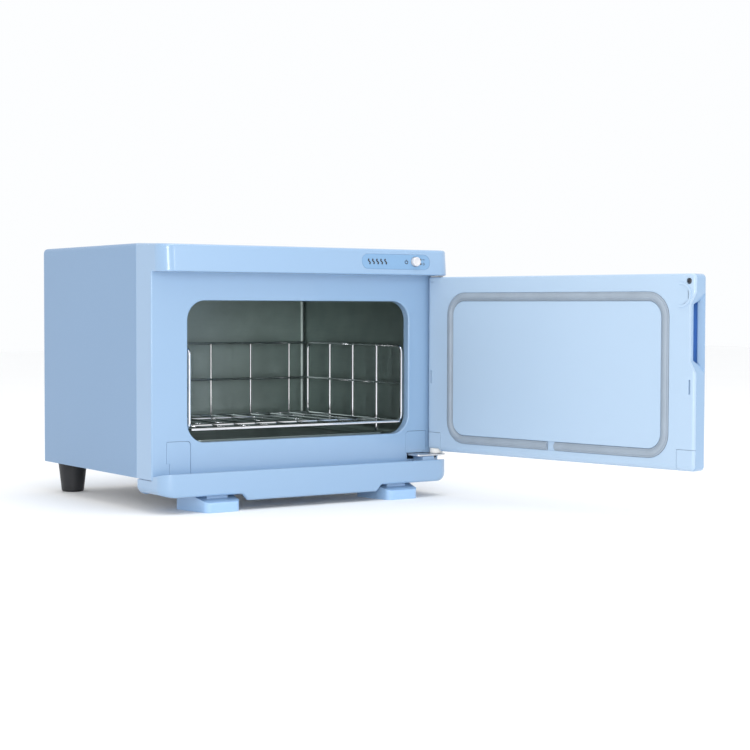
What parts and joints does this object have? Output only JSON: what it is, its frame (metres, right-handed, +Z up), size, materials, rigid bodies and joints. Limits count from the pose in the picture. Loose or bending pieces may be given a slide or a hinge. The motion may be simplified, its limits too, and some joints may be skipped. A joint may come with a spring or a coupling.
{
  "type": "hot towel cabinet",
  "caption": "Countertop towel warmer: insulated steel case, moulded front frame, side-hung gasketed door, wire basket, drip tray and push-button switch.",
  "frame": {"origin": "middle of the footprint with the door open, on the counter", "axes": "+X to the cabinet's right (hinge side), +Y from front to back, +Z up"},
  "size_m": [0.4194, 0.6072, 0.268],
  "materials": {
    "blue_abs": "light sky-blue moulded ABS, satin gloss",
    "case_paint": "light blue powder-coated sheet steel",
    "label_film": "matt printed film, mid blue",
    "zinc_steel": "zinc-plated steel",
    "chrome_wire": "bright chromed wire",
    "chamber_aluminium": "mill-finish aluminium sheet",
    "black_plastic": "black moulded plastic",
    "foot_rubber": "hard black rubber",
    "white_nylon": "white nylon",
    "button_white": "white gloss button",
    "gasket_silicone": "grey silicone rubber",
    "insulation_foam": "cream insulation foam",
    "heater_silicone": "red silicone heating mat"
  },
  "bodies": {
    "cabinet": {"front_frame": "blue_abs", "hinge_cover_left": "blue_abs", "hinge_cover_right": "blue_abs", "outer_case": "case_paint", "base_panel": "zinc_steel", "rear_panel": "case_paint", "rear_screw_1": "zinc_steel", "rear_screw_2": "zinc_steel", "rear_screw_3": "zinc_steel", "rear_screw_4": "zinc_steel", "rear_screw_5": "zinc_steel", "rear_screw_6": "zinc_steel", "cord_gland": "black_plastic", "inner_chamber": "chamber_aluminium", "insulation_left": "insulation_foam", "insulation_right": "insulation_foam", "insulation_top": "insulation_foam", "insulation_base": "insulation_foam", "insulation_rear": "insulation_foam", "heater_plate": "heater_silicone", "thermostat": "black_plastic", "thermal_fuse": "white_nylon", "terminal_block": "white_nylon", "control_label": "label_film", "power_switch": "black_plastic", "wiring_loom": "black_plastic", "basket_side_left": "chrome_wire", "basket_side_right": "chrome_wire", "basket_back": "chrome_wire", "basket_floor": "chrome_wire", "drip_tray": "chamber_aluminium", "front_foot_left": "blue_abs", "front_foot_right": "blue_abs", "rear_foot_left": "foot_rubber", "rear_foot_right": "foot_rubber", "foot_screw_left": "zinc_steel", "foot_screw_right": "zinc_steel", "upper_hinge_pin": "zinc_steel", "lower_hinge_pin": "zinc_steel", "lower_hinge_bracket": "zinc_steel", "catch_magnet": "zinc_steel"},
    "door": {"door_shell": "blue_abs", "door_liner": "blue_abs", "door_corner_cap_left": "blue_abs", "door_corner_cap_right": "blue_abs", "door_gasket": "gasket_silicone", "door_insulation": "insulation_foam", "door_strike_plate": "zinc_steel", "liner_screw": "zinc_steel", "upper_hinge_bush": "white_nylon", "lower_hinge_bush": "white_nylon"},
    "button": {"power_button": "button_white"}
  },
  "joints": [
    {"name": "door_hinge", "type": "hinge", "parent": "cabinet", "child": "door", "pos_m": [0.13082, 0.02957, 0.142], "axis": [0, 0, 1], "range_deg": [-101.3, 18.7]},
    {"name": "button_push", "type": "slide", "parent": "cabinet", "child": "button", "axis": [0, 1, 0], "range_m": [0, 0.0025], "stiffness_N_per_m": 400, "springref_m": -0.001}
  ]
}
